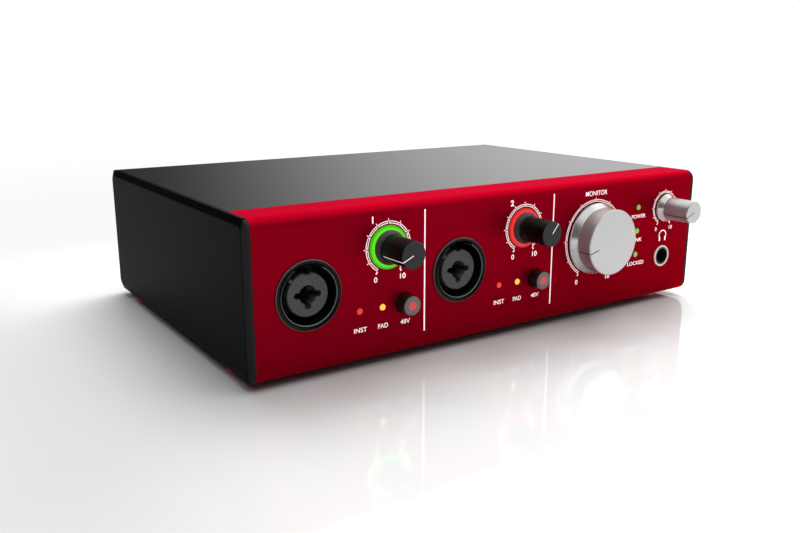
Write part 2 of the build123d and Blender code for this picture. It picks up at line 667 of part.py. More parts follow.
# ---------------------------------------------------------------- boards and what is on them
def front_board():
    """Upright board behind the controls, cut away around the deep sockets."""
    end = SHELL_END - RIB_REACH - 1.4
    y0, y1 = FRONT + BOARD_FRONT, FRONT + BOARD_FRONT + BOARD
    board = block(-end, end, y0, y1, BOTTOM + 7.8, TOP - 5)
    half_w, half_h = HOUSING_WIDTH / 2 + 0.4, HOUSING_HEIGHT / 2 + 0.4
    for shift in CHANNELS:
        x = INPUT_X + shift
        board -= block(x - half_w, x + half_w, y0 - 1, y1 + 1, INPUT_Z - half_h, INPUT_Z + half_h)
    return board - block(
        PHONES_X - 7.5, PHONES_X + 7.5, y0 - 1, y1 + 1, PHONES_JACK_Z - 7, PHONES_JACK_Z + 7,
    )


def main_board():
    board = block(-95, 95, MAIN_BOARD_FRONT, PANEL_INNER - 2.5, MAIN_BOARD_Z, MAIN_BOARD_TOP)
    for x, y in SPACER_SPOTS:
        board -= post(x, y, MAIN_BOARD_Z - 1, MAIN_BOARD_TOP + 1, 1.6)
    return board


def board_spacer(x, y):
    """Threaded spacer with the screw that holds the board down."""
    spacer = post(x, y, BOTTOM + SHEET, MAIN_BOARD_Z, 3.0)
    spacer += post(x, y, MAIN_BOARD_Z - 1, MAIN_BOARD_TOP + 0.5, 1.5)
    return spacer + post(x, y, MAIN_BOARD_TOP, MAIN_BOARD_TOP + 1.6, 2.8)


def board_chips():
    """Flat packages on the main board: x, y, width, depth, height."""
    chips = [(20, 5, 20, 20, 1.6), (-25, 5, 14, 14, 1.4), (50, 20, 10, 14, 2.2), (-55, -10, 10, 8, 1.8),
             (-25, 32, 8, 12, 1.8), (55, -12, 12, 8, 1.8)]
    return [
        block(x - w / 2, x + w / 2, y - d / 2, y + d / 2, MAIN_BOARD_TOP, MAIN_BOARD_TOP + h)
        for x, y, w, d, h in chips
    ]


def board_capacitors():
    """Upright capacitors in two rows."""
    spots = [(x, y) for x in (-75, -63, 72, 84) for y in (5, 20)]
    return [post(x, y, MAIN_BOARD_TOP, MAIN_BOARD_TOP + 14, 4.0) for x, y in spots]


def ribbon_cable():
    """Flat cable from the front board down to the main board."""
    half_w = 12.0
    x = 40.0
    y0 = FRONT + BOARD_FRONT + BOARD
    y1 = MAIN_BOARD_FRONT + 6
    high = MAIN_BOARD_TOP + 8
    cable = block(x - half_w, x + half_w, y0, y1, high, high + 1)
    return cable + block(x - half_w, x + half_w, y1 - 1, y1, MAIN_BOARD_TOP, high + 1)


# ---------------------------------------------------------------- write every node
def write_casing():
    save("front_fascia", front_fascia())
    save("front_plate", front_plate())
    save("left_cheek", cheek(-1))
    save("right_cheek", cheek(1))
    save("top_cover", top_cover())
    save("base_tray", base_tray())
    save("rear_panel", *rear_panel())
    for name, (x, y) in foot_spots().items():
        save(name, foot(x, y))
    save("foot_screws", *[foot_screw(x, y) for x, y in foot_spots().values()])
    save("panel_screws", *[panel_screw(x, z) for x, z in screw_spots()])


def write_channels():
    contacts = []
    for number, shift in enumerate(CHANNELS, start=1):
        input_x = INPUT_X + shift
        gain_x = GAIN_X + shift
        button_x = BUTTON_X + shift
        save(f"input_{number}_bezel", input_bezel(input_x))
        save(f"input_{number}_insert", input_insert(input_x))
        save(f"input_{number}_housing", input_housing(input_x))
        contacts += input_contacts(input_x)
        save(f"gain_{number}_knob", tall_knob(gain_x, TALL_KNOB_Z))
        save(f"gain_{number}_shaft", shaft(gain_x, TALL_KNOB_Z, SHAFT_END))
        save(f"gain_{number}_potentiometer", potentiometer(gain_x, TALL_KNOB_Z, 1.6))
        save(f"gain_{number}_halo", halo(gain_x))
        save(f"phantom_{number}_button", button(button_x))
        save(f"phantom_{number}_lens", button_lens(button_x))
        save(f"phantom_{number}_switch", button_switch(button_x))
    save("input_contacts", *contacts)
    save("instrument_lights", *[indicator(INSTRUMENT_X + shift, ROW_Z) for shift in CHANNELS])
    save("pad_lights", *[indicator(PAD_X + shift, ROW_Z) for shift in CHANNELS])


def write_outputs():
    save("monitor_knob", monitor_knob())
    save("monitor_shaft", shaft(MONITOR_X, MONITOR_Z, MONITOR_SHAFT_END))
    save("monitor_potentiometer", potentiometer(MONITOR_X, MONITOR_Z, 0.4))
    save("phones_knob", tall_knob(PHONES_X, TALL_KNOB_Z))
    save("phones_shaft", shaft(PHONES_X, TALL_KNOB_Z, SHAFT_END))
    save("phones_potentiometer", potentiometer(PHONES_X, TALL_KNOB_Z, 0.4))
    save("phones_jack", phones_jack())
    save("phones_ring", phones_ring())
    save("status_lights", *[indicator(STATUS_X, STATUS_Z + step * STATUS_PITCH) for step in (-1, 0, 1)])


def write_rear():
    save("line_output_jacks", *[line_jack(x) for x in LINE_X])
    save("line_output_nuts", *[line_nut(x) for x in LINE_X])
    save("five_pin_sockets", *[five_pin_socket(x) for x in FIVE_PIN_X])
    save("optical_socket", optical_socket())
    save("optical_shutter", optical_shutter())
    save("data_socket", data_socket())
    save("power_inlet", power_inlet())
    save("power_switch_frame", rocker_frame())
    save("power_rocker", rocker())


def write_boards():
    save("front_board", front_board())
    save("main_board", main_board())
    save("board_spacers", *[board_spacer(x, y) for x, y in SPACER_SPOTS])
    save("board_chips", *board_chips())
    save("board_capacitors", *board_capacitors())
    save("ribbon_cable", ribbon_cable())


os.makedirs("parts", exist_ok=True)
write_casing()
write_channels()
write_outputs()
write_rear()
write_boards()
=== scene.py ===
"""Looks of a desktop audio interface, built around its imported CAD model.

Metres, +Z up, front towards -Y.  Places come from the frame's boxes.
"""
import json
import math

import bmesh
import bpy
from mathutils import Matrix, Vector


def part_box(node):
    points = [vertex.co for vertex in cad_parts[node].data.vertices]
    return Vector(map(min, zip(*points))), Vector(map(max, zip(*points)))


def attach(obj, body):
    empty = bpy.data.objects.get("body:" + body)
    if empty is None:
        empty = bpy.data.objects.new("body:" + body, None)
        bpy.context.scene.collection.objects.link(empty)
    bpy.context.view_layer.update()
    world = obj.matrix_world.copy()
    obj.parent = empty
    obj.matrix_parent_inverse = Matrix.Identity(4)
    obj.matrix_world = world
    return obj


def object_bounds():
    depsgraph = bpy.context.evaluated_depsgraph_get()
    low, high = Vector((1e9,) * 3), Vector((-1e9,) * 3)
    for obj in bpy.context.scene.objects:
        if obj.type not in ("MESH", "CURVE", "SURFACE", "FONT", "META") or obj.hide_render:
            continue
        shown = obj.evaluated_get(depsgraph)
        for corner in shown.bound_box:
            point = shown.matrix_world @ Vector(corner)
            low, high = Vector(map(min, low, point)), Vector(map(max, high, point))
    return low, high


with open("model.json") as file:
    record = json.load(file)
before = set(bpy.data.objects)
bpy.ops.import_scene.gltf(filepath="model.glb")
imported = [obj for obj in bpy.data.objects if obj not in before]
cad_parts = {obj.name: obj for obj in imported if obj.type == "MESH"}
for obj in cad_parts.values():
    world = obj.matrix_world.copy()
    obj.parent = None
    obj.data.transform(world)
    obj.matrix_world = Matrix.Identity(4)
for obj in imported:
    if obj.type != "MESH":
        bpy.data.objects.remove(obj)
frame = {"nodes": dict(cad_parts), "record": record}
CAD_BOX = [list(corner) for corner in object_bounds()]
NODES = frame["nodes"]
SLOTS = {entry["node"]: entry["material_slot"] for entry in frame["record"]["subparts"]}
MM = 0.001

FRONT_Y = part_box("front_fascia")[0].y
PANEL_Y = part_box("rear_panel")[1].y


def centre(node):
    low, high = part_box(node)
    return (low + high) / 2


# ---------------------------------------------------------------- node materials
def principled(name, colour, roughness, metallic=0.0, **sockets):
    """A new material whose shader has these plain values."""
    mat = bpy.data.materials.new(name)
    mat.use_nodes = True
    shader = mat.node_tree.nodes["Principled BSDF"]
    shader.inputs["Base Color"].default_value = (*colour, 1)
    shader.inputs["Roughness"].default_value = roughness
    shader.inputs["Metallic"].default_value = metallic
    for label, value in sockets.items():
        shader.inputs[label.replace("_", " ")].default_value = value
    return mat


def shader_of(mat):
    return mat.node_tree.nodes["Principled BSDF"]


def feed(tree, value, socket):
    """Give a socket a plain number, or link a node's output to it."""
    if isinstance(value, (int, float)):
        socket.default_value = value
    else:
        tree.links.new(value, socket)


def noise(mat, scale, detail=3.0, stretch=(1, 1, 1)):
    """A noise texture in object space.  scale counts its cells in one metre."""
    tree = mat.node_tree
    place = tree.nodes.new("ShaderNodeTexCoord")
    mapping = tree.nodes.new("ShaderNodeMapping")
    mapping.inputs["Scale"].default_value = stretch
    texture = tree.nodes.new("ShaderNodeTexNoise")
    texture.inputs["Scale"].default_value = scale
    texture.inputs["Detail"].default_value = detail
    tree.links.new(place.outputs["Object"], mapping.inputs["Vector"])
    tree.links.new(mapping.outputs["Vector"], texture.inputs["Vector"])
    return texture.outputs["Fac"]


def spread(mat, factor, low, high):
    """Maps the usual range of a noise value to the range from low to high."""
    usual_low, usual_high = 0.3, 0.7
    tree = mat.node_tree
    ramp = tree.nodes.new("ShaderNodeMapRange")
    ramp.inputs["From Min"].default_value = usual_low
    ramp.inputs["From Max"].default_value = usual_high
    ramp.inputs["To Min"].default_value = low
    ramp.inputs["To Max"].default_value = high
    tree.links.new(factor, ramp.inputs["Value"])
    return ramp.outputs["Result"]


def bumpy(mat, scale, depth, detail=3.0):
    """Fine relief.  depth is in metres."""
    tree = mat.node_tree
    bump = tree.nodes.new("ShaderNodeBump")
    bump.inputs["Strength"].default_value = 1.0
    bump.inputs["Distance"].default_value = depth
    tree.links.new(noise(mat, scale, detail), bump.inputs["Height"])
    tree.links.new(bump.outputs["Normal"], shader_of(mat).inputs["Normal"])
    return mat


def patchy(mat, scale, low, high, detail=4.0):
    """Roughness that wanders between low and high."""
    result = spread(mat, noise(mat, scale, detail), low, high)
    mat.node_tree.links.new(result, shader_of(mat).inputs["Roughness"])
    return mat


def two_tone(mat, factor, dark, light):
    """Base colour that goes from dark to light as the factor goes from nought to one."""
    tree = mat.node_tree
    mix = tree.nodes.new("ShaderNodeMix")
    mix.data_type = "RGBA"
    mix.inputs["A"].default_value = (*dark, 1)
    mix.inputs["B"].default_value = (*light, 1)
    tree.links.new(factor, mix.inputs["Factor"])
    tree.links.new(mix.outputs["Result"], shader_of(mat).inputs["Base Color"])
    return mix.outputs["Result"]


def tinted(mat, scale, dark, light, detail=4.0, stretch=(1, 1, 1)):
    """Colour that wanders between dark and light."""
    return two_tone(mat, spread(mat, noise(mat, scale, detail, stretch), 0, 1), dark, light)


def vector_step(tree, operation, source, value=(0, 0, 0)):
    """One vector operation in a node tree.  LENGTH and ABSOLUTE use no second value."""
    node = tree.nodes.new("ShaderNodeVectorMath")
    node.operation = operation
    tree.links.new(source, node.inputs[0])
    if operation not in ("LENGTH", "ABSOLUTE"):
        node.inputs[1].default_value = value
    return node.outputs["Value" if operation == "LENGTH" else "Vector"]


def smooth_ramp(tree, source, span, values):
    """Eases a value from values[0] to values[1] over a span of the source."""
    ramp = tree.nodes.new("ShaderNodeMapRange")
    ramp.interpolation_type = "SMOOTHSTEP"
    ramp.inputs["From Min"].default_value, ramp.inputs["From Max"].default_value = span
    ramp.inputs["To Min"].default_value, ramp.inputs["To Max"].default_value = values
    tree.links.new(source, ramp.inputs["Value"])
    return ramp.outputs["Result"]


def math_step(tree, operation, first, second):
    """One sum in a node tree.  second is another output or a number."""
    node = tree.nodes.new("ShaderNodeMath")
    node.operation = operation
    tree.links.new(first, node.inputs[0])
    feed(tree, second, node.inputs[1])
    return node.outputs["Value"]


def unsigned(tree, source):
    """The size of a value, whatever its sign."""
    return math_step(tree, "MAXIMUM", source, math_step(tree, "MULTIPLY", source, -1.0))


def band(tree, source, middle, half):
    """One near the middle value, easing to nought where the source is half away from it."""
    plateau = 0.4
    offset = math_step(tree, "SUBTRACT", source, middle)
    return smooth_ramp(tree, unsigned(tree, offset), (plateau * half, half), (1, 0))


def upright_radius(tree, offset):
    """Length of an offset as the front is seen, without its depth."""
    return vector_step(tree, "LENGTH", vector_step(tree, "MULTIPLY", offset, (1, 0, 1)))


def place_axes(tree):
    """Object space coordinates, one output for each axis."""
    place = tree.nodes.new("ShaderNodeTexCoord")
    split = tree.nodes.new("ShaderNodeSeparateXYZ")
    tree.links.new(place.outputs["Object"], split.inputs["Vector"])
    return split.outputs


def grey_by_depth(mat, *steps):
    """Grey base colour that changes from front to back.

    Each step is a span of Y and its two levels; the lightest step shows.
    """
    tree = mat.node_tree
    depth = place_axes(tree)["Y"]
    level = None
    for span, values in steps:
        ramp = smooth_ramp(tree, depth, span, values)
        level = ramp if level is None else math_step(tree, "MAXIMUM", level, ramp)
    tree.links.new(level, shader_of(mat).inputs["Base Color"])
    return mat


def shade(colour, factor):
    return tuple(min(1.0, channel * factor) for channel in colour)


# ---------------------------------------------------------------- one look for each material slot
def anodised_red():
    """Red metal with a red sheen; its base colour has painted shade towards the bottom, is lighter
    towards the top, and has a painted highlight on the upper lip.
    """
    red = (0.235, 0.0003, 0.009)
    mat = principled(
        "anodised red", red, 0.42, 0.65,
        Specular_IOR_Level=0.0,
        Specular_Tint=(1.0, 0.04, 0.12, 1),
        Sheen_Weight=1.0,
        Sheen_Roughness=0.35,
        Sheen_Tint=(1.0, 0.01, 0.06, 1),
    )
    tree = mat.node_tree
    height = place_axes(tree)["Z"]
    lip_foot, lip_head = 50 * MM, 56 * MM
    # Painted shade: the face's base colour is darker towards the bottom and lighter towards the top.
    face = smooth_ramp(tree, height, (0, lip_foot), (0.84, 1.06))
    # Painted highlight: the upper lip's base colour is lighter still.
    painted_lip_highlight = smooth_ramp(tree, height, (lip_foot, lip_head), (0.0, 0.3))
    mix = tree.nodes.new("ShaderNodeMix")
    mix.data_type = "RGBA"
    mix.blend_type = "MULTIPLY"
    mix.inputs["Factor"].default_value = 1.0
    grain = tinted(mat, 900, shade(red, 0.95), shade(red, 1.04), 3.0, (0.05, 1, 1))
    tree.links.new(grain, mix.inputs["A"])
    tree.links.new(math_step(tree, "ADD", face, painted_lip_highlight), mix.inputs["B"])
    tree.links.new(mix.outputs["Result"], shader_of(mat).inputs["Base Color"])
    patchy(mat, 2500, 0.36, 0.46)
    return bumpy(mat, 9000, 0.000003)


def satin_black_metal():
    """Smooth coat of the top cover and the base tray."""
    dark = (0.008, 0.008, 0.008)
    mat = principled("satin black metal", dark, 0.26, IOR=1.5)
    tinted(mat, 140, shade(dark, 0.9), shade(dark, 1.1))
    patchy(mat, 3000, 0.23, 0.29)
    return bumpy(mat, 7000, 0.000002)


def black_panel_coat():
    """Dull coat of the rear panel."""
    dark = (0.014, 0.014, 0.014)
    mat = principled("black panel coat", dark, 0.5, Specular_IOR_Level=0.02)
    tinted(mat, 200, shade(dark, 0.9), shade(dark, 1.1))
    patchy(mat, 4000, 0.45, 0.6)
    return bumpy(mat, 5000, 0.000006)


def cheek_coat():
    """Black coat: matt on the flat side, glossy on the upper bevel, with a painted highlight that makes
    it paler along the front edge.
    """
    matt, glossy = 0.52, 0.12
    mat = principled("black cheek coat", (0.003, 0.003, 0.003), matt, Specular_IOR_Level=0.02)
    tree = mat.node_tree
    low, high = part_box("right_cheek")
    # Painted highlight: the base colour is paler along the front edge.
    grey_by_depth(mat, ((low.y + 2.0 * MM, low.y + 2.5 * MM), (0.018, 0.003)))
    axes = place_axes(tree)
    side = unsigned(tree, axes["X"])
    flat = smooth_ramp(tree, side, (high.x - 0.15 * MM, high.x - 0.02 * MM), (glossy, matt))
    lower = smooth_ramp(tree, axes["Z"], (low.z + 15 * MM, low.z + 30 * MM), (matt, glossy))
    tree.links.new(math_step(tree, "MAXIMUM", flat, lower), shader_of(mat).inputs["Roughness"])
    return bumpy(mat, 5000, 0.000006)


def knob_coat():
    """Black knob: a dark barrel, a matt face painted grey as painted frontal light, and a skirt painted
    paler as a painted highlight.
    """
    mat = principled("knob black", (0.002, 0.002, 0.002), 0.34, Specular_IOR_Level=0.12)
    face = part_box("gain_1_knob")[0].y
    # Painted light: the face is painted grey and the skirt paler than the dark barrel.
    grey_by_depth(
        mat,
        ((face + 0.1 * MM, face + 0.25 * MM), (0.03, 0.0015)),
        ((FRONT_Y - 3.4 * MM, FRONT_Y - 2.2 * MM), (0.0015, 0.05)),
    )
    patchy(mat, 1700, 0.31, 0.38)
    return bumpy(mat, 5000, 0.000003)


def button_coat():
    """Black push button whose front ring is painted paler, a painted highlight."""
    mat = principled("button black", (0.008, 0.008, 0.008), 0.3, Specular_IOR_Level=0.6)
    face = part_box("phantom_1_button")[0].y
    # Painted highlight: the front ring's base colour is paler than the sides.
    grey_by_depth(mat, ((face + 0.1 * MM, face + 0.35 * MM), (0.11, 0.008)))
    patchy(mat, 2000, 0.27, 0.34)
    return bumpy(mat, 6000, 0.000005)


def bare_metal(name, colour, roughness):
    """Uncoated metal with a fine grain."""
    grain = 3000
    mat = principled(name, colour, roughness, 1.0)
    tinted(mat, grain, shade(colour, 0.96), shade(colour, 1.04), 2.0)
    patchy(mat, grain, roughness * 0.85, roughness * 1.15, 2.0)
    return bumpy(mat, grain, 0.000002, 2.0)


def turned_aluminium():
    """Silver knobs: a bright smooth skirt whose brightness is partly a painted highlight in its base
    colour, and a duller turned body and face.
    """
    mat = principled("turned aluminium", (0.55, 0.545, 0.55), 0.34, 0.75)
    span = (FRONT_Y - 4.0 * MM, FRONT_Y - 3.4 * MM)
    # Painted highlight: the skirt's base colour is brighter than the body's.
    grey_by_depth(mat, (span, (0.54, 0.62)))
    tree = mat.node_tree
    smoother = smooth_ramp(tree, place_axes(tree)["Y"], span, (1.0, 0.55))
    turned = spread(mat, noise(mat, 3000, 2.0), 0.31, 0.37)
    tree.links.new(math_step(tree, "MULTIPLY", turned, smoother), shader_of(mat).inputs["Roughness"])
    return bumpy(mat, 5000, 0.0000015, 2.0)


def grained_insert():
    """Dark grey moulding with a coarse speckled grain."""
    grey = (0.05, 0.05, 0.05)
    mat = principled("insert grey", grey, 0.65)
    tinted(mat, 2300, shade(grey, 0.6), shade(grey, 1.5), 1.0)
    patchy(mat, 900, 0.58, 0.72)
    return bumpy(mat, 2600, 0.00003)


def moulded(name, colour, roughness, grain=6000, depth=0.000005, **sockets):
    """Moulded plastic or rubber with a fine grain of this many cells in a metre."""
    mat = principled(name, colour, roughness, **sockets)
    tinted(mat, 300, shade(colour, 0.9), shade(colour, 1.1))
    patchy(mat, grain / 3, roughness * 0.9, min(1.0, roughness * 1.12))
    return bumpy(mat, grain, depth)


def glowing(name, colour, strength, body):
    """A lit lens: a slightly mottled body that glows evenly."""
    mat = principled(name, body, 0.3, Emission_Color=(*colour, 1), Emission_Strength=strength)
    tinted(mat, 1200, shade(body, 0.85), shade(body, 1.1))
    return bumpy(mat, 3000, 0.000005)


def ring_glow(name, colour, body, node):
    """A ring-shaped light guide, dimmer towards its outer edge."""
    mat = principled(name, body, 0.35, Specular_IOR_Level=0.2, Emission_Color=(*colour, 1))
    tree = mat.node_tree
    inner, outer = 6.0 * MM, 7.5 * MM
    place = tree.nodes.new("ShaderNodeTexCoord")
    away = vector_step(tree, "SUBTRACT", place.outputs["Object"], centre(node))
    strength = smooth_ramp(tree, upright_radius(tree, away), (inner, outer), (1.1, 0.35))
    tree.links.new(strength, shader_of(mat).inputs["Emission Strength"])
    tinted(mat, 1200, shade(body, 0.85), shade(body, 1.1))
    return bumpy(mat, 3000, 0.000005)


def polished_bezel():
    """Black moulding whose outer and inner edges are painted paler as painted highlights.  Both bezels
    share it.
    """
    dull, painted_rim_highlight = (0.003, 0.004, 0.0035), (0.13, 0.125, 0.12)
    mat = principled("bezel black", dull, 0.22, Specular_IOR_Level=0.12)
    first, second = centre("input_1_bezel"), centre("input_2_bezel")
    low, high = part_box("input_1_bezel")
    outer = (high.x - low.x) / 2
    tree = mat.node_tree
    place = tree.nodes.new("ShaderNodeTexCoord")
    away = vector_step(tree, "SUBTRACT", place.outputs["Object"], (first + second) / 2)
    folded = vector_step(tree, "ABSOLUTE", away)
    shifted = vector_step(tree, "SUBTRACT", folded, ((second.x - first.x) / 2, 0, 0))
    radius = upright_radius(tree, shifted)
    # Painted highlights: thin paler bands along the outer and inner rims.
    outer_rim_highlight = band(tree, radius, outer - 0.14 * MM, 0.14 * MM)
    inner_rim_highlight = band(tree, radius, outer - 1.85 * MM, 0.2 * MM)
    two_tone(mat, math_step(tree, "MAXIMUM", outer_rim_highlight, inner_rim_highlight), dull, painted_rim_highlight)
    patchy(mat, 1700, 0.2, 0.25)
    return bumpy(mat, 5000, 0.000002)


LOOKS = {
    "red_aluminium": anodised_red,
    "black_metal": satin_black_metal,
    "black_cheek": cheek_coat,
    "black_panel": black_panel_coat,
    "steel": lambda: bare_metal("plain steel", (0.56, 0.56, 0.55), 0.35),
    "red_rubber": lambda: moulded("dark red rubber", (0.44, 0.02, 0.08), 0.6, 3000, 0.00001),
    "screw_steel": lambda: bare_metal("screw steel", (0.5, 0.5, 0.5), 0.3),
    "screw_black": lambda: bare_metal("black screw", (0.05, 0.05, 0.05), 0.4),
    "contact_metal": lambda: bare_metal("contact metal", (0.45, 0.41, 0.32), 0.3),
    "red_light": lambda: glowing("red light", (1.0, 0.035, 0.045), 0.42, (0.5, 0.02, 0.02)),
    "amber_light": lambda: glowing("amber light", (1.0, 0.40, 0.04), 1.15, (0.8, 0.36, 0.04)),
    "green_light": lambda: glowing("green light", (0.22, 0.6, 0.08), 0.5, (0.1, 0.3, 0.04)),
    "silver": turned_aluminium,
    "inner_plastic": lambda: moulded("inner plastic", (0.02, 0.02, 0.021), 0.6),
    "socket_plastic": lambda: moulded("socket plastic", (0.012, 0.012, 0.012), 0.32),
    "pale_ring": lambda: moulded("pale ring", (0.80, 0.78, 0.76), 0.35),
    "nut_metal": lambda: bare_metal("nut metal", (0.45, 0.45, 0.45), 0.28),
    "shutter_plastic": lambda: moulded("shutter plastic", (0.03, 0.03, 0.03), 0.5),
    "rocker_plastic": lambda: moulded("rocker plastic", (0.015, 0.015, 0.015), 0.3),
    "circuit_board": lambda: moulded("circuit board", (0.01, 0.09, 0.04), 0.4),
    "chip_plastic": lambda: moulded("chip plastic", (0.015, 0.015, 0.016), 0.6),
    "capacitor_sleeve": lambda: moulded("capacitor sleeve", (0.02, 0.02, 0.06), 0.3),
    "ribbon_plastic": lambda: moulded("ribbon plastic", (0.42, 0.42, 0.44), 0.5),
    "bezel_black": polished_bezel,
    "insert_grey": grained_insert,
    "knob_black": knob_coat,
    "halo_green": lambda: ring_glow("green halo", (0.09, 0.68, 0.008), (0.03, 0.3, 0.01), "gain_1_halo"),
    "halo_red": lambda: ring_glow("red halo", (0.82, 0.025, 0.025), (0.3, 0.02, 0.02), "gain_2_halo"),
    "button_black": button_coat,
    "lens_red": lambda: glowing("red lens", (1.0, 0.045, 0.045), 0.3, (0.42, 0.03, 0.03)),
}


def dress_nodes():
    """Give every CAD node the look of its slot."""
    made = {slot: build() for slot, build in LOOKS.items()}
    for name, node in NODES.items():
        node.data.materials.clear()
        node.data.materials.append(made[SLOTS[name]])


# ---------------------------------------------------------------- printed marks on flat faces
PRINT = 0.04 * MM               # height of the print above its face
LINE = 0.27 * MM                # width of the printed lines
# Painted light: the white print glows a little, though it is no lamp.
INK_WITH_PAINTED_GLOW = moulded(
    "white print with painted glow", (0.90, 0.80, 0.80), 0.5, 4000, 0.000002,
    Emission_Color=(1.0, 0.80, 0.82, 1),
    Emission_Strength=0.5,
)
DARK_INK = moulded("dark engraving", (0.02, 0.018, 0.018), 0.5, 4000, 0.000002)


def piece(name, mesh, ink, body):
    """Put a mesh in the scene as a piece that rides on a body."""
    mesh.materials.clear()
    mesh.materials.append(ink)
    obj = bpy.data.objects.new(name, mesh)
    bpy.context.scene.collection.objects.link(obj)
    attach(obj, body)


def plates(outlines, back, front):
    """One mesh of closed plates.  Each outline is a loop of (x, z) points as the front is seen."""
    mesh = bpy.data.meshes.new("plates")
    build = bmesh.new()
    for outline in outlines:
        near = [build.verts.new((x, front, z)) for x, z in outline]
        far = [build.verts.new((x, back, z)) for x, z in outline]
        build.faces.new(near)
        build.faces.new(far[::-1])
        for i in range(len(outline)):
            j = (i + 1) % len(outline)
            build.faces.new((near[j], near[i], far[i], far[j]))
    bmesh.ops.recalc_face_normals(build, faces=build.faces)
    build.to_mesh(mesh)
    build.free()
    return mesh


def around(x, z, radius, degrees):
    """A point on a dial, clockwise from the top as the front is seen."""
    angle = math.radians(degrees)
    return x + radius * math.sin(angle), z + radius * math.cos(angle)


def arc_plate(x, z, inner, outer, start, end):
    """Outline of part of a ring, from one angle to another."""
    step_degrees = 3
    steps = max(2, round(abs(end - start) / step_degrees))
    angles = [start + (end - start) * i / steps for i in range(steps + 1)]
    far = [around(x, z, outer, a) for a in angles]
    near = [around(x, z, inner, a) for a in reversed(angles)]
    return far + near


def bar_plate(x0, x1, z0, z1):
    return [(x0, z0), (x1, z0), (x1, z1), (x0, z1)]


def ray_plate(x, z, inner, outer, degrees, width):
    """Outline of a short bar that points away from a dial's centre."""
    angle = math.radians(degrees)
    across = Vector((math.cos(angle), -math.sin(angle))) * width / 2
    near, far = Vector(around(x, z, inner, degrees)), Vector(around(x, z, outer, degrees))
    return [tuple(p) for p in (near - across, far - across, far + across, near + across)]


def print_on_front(name, outlines):
    mesh = plates(outlines, FRONT_Y + PRINT, FRONT_Y - PRINT)
    piece(name, mesh, INK_WITH_PAINTED_GLOW, "case")


DIAL_END = 150                  # degrees from the top to the end of a dial
DIAL_STEP = 30                  # degrees from one division to the next


def dial(name, node, inner, outer, tick):
    """Ten outlined boxes around a knob, with a tick at every division and bolder ones at the ends."""
    spot = centre(node)
    x, z = spot.x, spot.z
    foot = outer + 0.02 * MM
    gap = math.degrees(LINE * 0.9 / outer)
    thin = math.degrees(LINE / outer)
    outlines = []
    for start in range(-DIAL_END, DIAL_END, DIAL_STEP):
        a, b = start + gap, start + DIAL_STEP - gap
        outlines.append(arc_plate(x, z, outer - LINE, outer, a, b))
        outlines.append(arc_plate(x, z, inner, inner + LINE, a, b))
        outlines.append(arc_plate(x, z, inner + LINE, outer - LINE, a, a + thin))
        outlines.append(arc_plate(x, z, inner + LINE, outer - LINE, b - thin, b))
    for degrees in range(-DIAL_END + DIAL_STEP, DIAL_END, DIAL_STEP):
        outlines.append(ray_plate(x, z, foot, tick, degrees, LINE))
    for degrees in (-DIAL_END, DIAL_END):
        outlines.append(ray_plate(x, z, foot, tick + 0.3 * MM, degrees, LINE * 1.9))
    print_on_front(name, outlines)


WEIGHT = 0.006                  # thickening of all lettering, in units of its type size


def word(name, text, x, z, height, width=None, back=False, heavy=0.0):
    """Printed lettering, centred on (x, z), facing out of the front or the back.

    Without a width the type keeps its own proportions.  heavy thickens it further.
    """
    curve = bpy.data.curves.new(name, "FONT")
    curve.body = text
    curve.extrude = 1.0
    curve.offset = heavy + WEIGHT
    holder = bpy.data.objects.new(name + "_outline", curve)
    bpy.context.scene.collection.objects.link(holder)
    bpy.context.view_layer.update()
    graph = bpy.context.evaluated_depsgraph_get()
    mesh = bpy.data.meshes.new_from_object(holder.evaluated_get(graph))
    bpy.data.objects.remove(holder)
    low = Vector([min(v.co[i] for v in mesh.vertices) for i in range(3)])
    high = Vector([max(v.co[i] for v in mesh.vertices) for i in range(3)])
    middle, size = (low + high) / 2, high - low
    tall = height / size.y
    wide = width / size.x if width else tall
    side, y = (-1, PANEL_Y) if back else (1, FRONT_Y)
    for vertex in mesh.vertices:
        offset = vertex.co - middle
        vertex.co = (x + side * offset.x * wide, y - side * offset.z * PRINT, z + offset.y * tall)
    # The outline's caps and sides come apart: join them, drop spare edges, and face them outward.
    weld = bmesh.new()
    weld.from_mesh(mesh)
    bmesh.ops.remove_doubles(weld, verts=weld.verts, dist=1e-6)
    bmesh.ops.dissolve_limit(weld, angle_limit=0.002, verts=weld.verts, edges=weld.edges)
    bmesh.ops.recalc_face_normals(weld, faces=weld.faces)
    weld.to_mesh(mesh)
    weld.free()
    piece(name, mesh, INK_WITH_PAINTED_GLOW, "case")


def dial_ends(name, zero_x, ten_x, z):
    """The 0 and the 10 below a full-size dial."""
    height = 1.9 * MM
    word(f"{name}_zero", "0", zero_x, z, height, 1.35 * MM, heavy=0.01)
    word(f"{name}_ten", "10", ten_x, z, height, 2.3 * MM, heavy=0.01)


def print_channel(number):
    """Dial, numerals and words of one input channel."""
    gain, channel = f"gain_{number}", f"channel_{number}"
    knob = centre(f"{gain}_knob")
    dial(f"{gain}_dial", f"{gain}_knob", 8.05 * MM, 9.0 * MM, 9.8 * MM)
    word(f"{channel}_numeral", str(number), knob.x - 6.2 * MM, knob.z + 9.8 * MM, 2.3 * MM, heavy=0.03)
    dial_ends(gain, knob.x - 5.2 * MM, knob.x + 5.7 * MM, knob.z - 10.6 * MM)
    button = centre(f"phantom_{number}_button")
    row = button.z - 6.55 * MM
    light_pitch = 8.8 * MM
    height = 1.65 * MM
    word(f"{channel}_inst", "INST", button.x - 2 * light_pitch - 0.4 * MM, row, height, 5.0 * MM)
    word(f"{channel}_pad", "PAD", button.x - light_pitch - 0.3 * MM, row, height, 4.0 * MM)
    word(f"{channel}_48v", "48V", button.x, row, height, 4.0 * MM)


